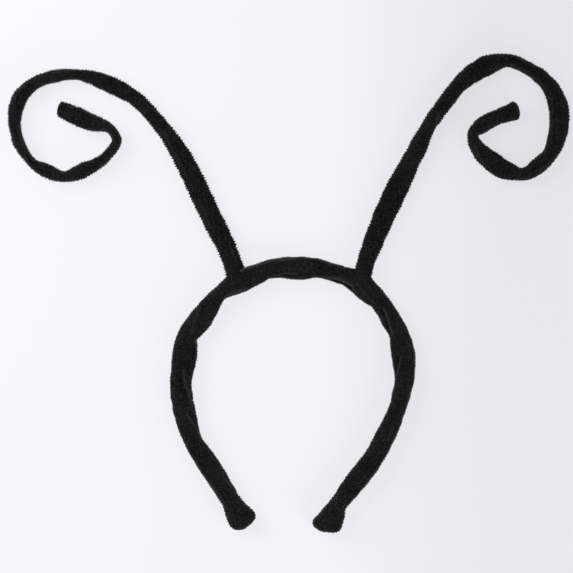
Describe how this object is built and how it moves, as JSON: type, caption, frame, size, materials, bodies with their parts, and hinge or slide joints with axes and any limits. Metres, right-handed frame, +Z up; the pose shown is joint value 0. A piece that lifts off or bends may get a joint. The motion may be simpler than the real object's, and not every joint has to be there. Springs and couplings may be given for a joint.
{
  "type": "antenna headband",
  "caption": "Costume headband: an open spring hoop covered in black plush, with tall plush antennae that rise from its crown and curl outwards into spirals.",
  "frame": {"origin": "middle of the outline seen from above, on the surface that the headband lies on", "axes": "+X across the hoop to the wearer's left as it lies face up, +Y from the end tips to the antennae, +Z up from the surface, out of the front of the headband"},
  "size_m": [0.2969, 0.2534, 0.0115],
  "materials": {
    "black_plush": "matte short-pile plush"
  },
  "bodies": {
    "root": {"hoop_sleeve": "black_plush", "antenna_left": "black_plush", "antenna_right": "black_plush", "end_tip_left": "black_plush", "end_tip_right": "black_plush"}
  },
  "joints": []
}
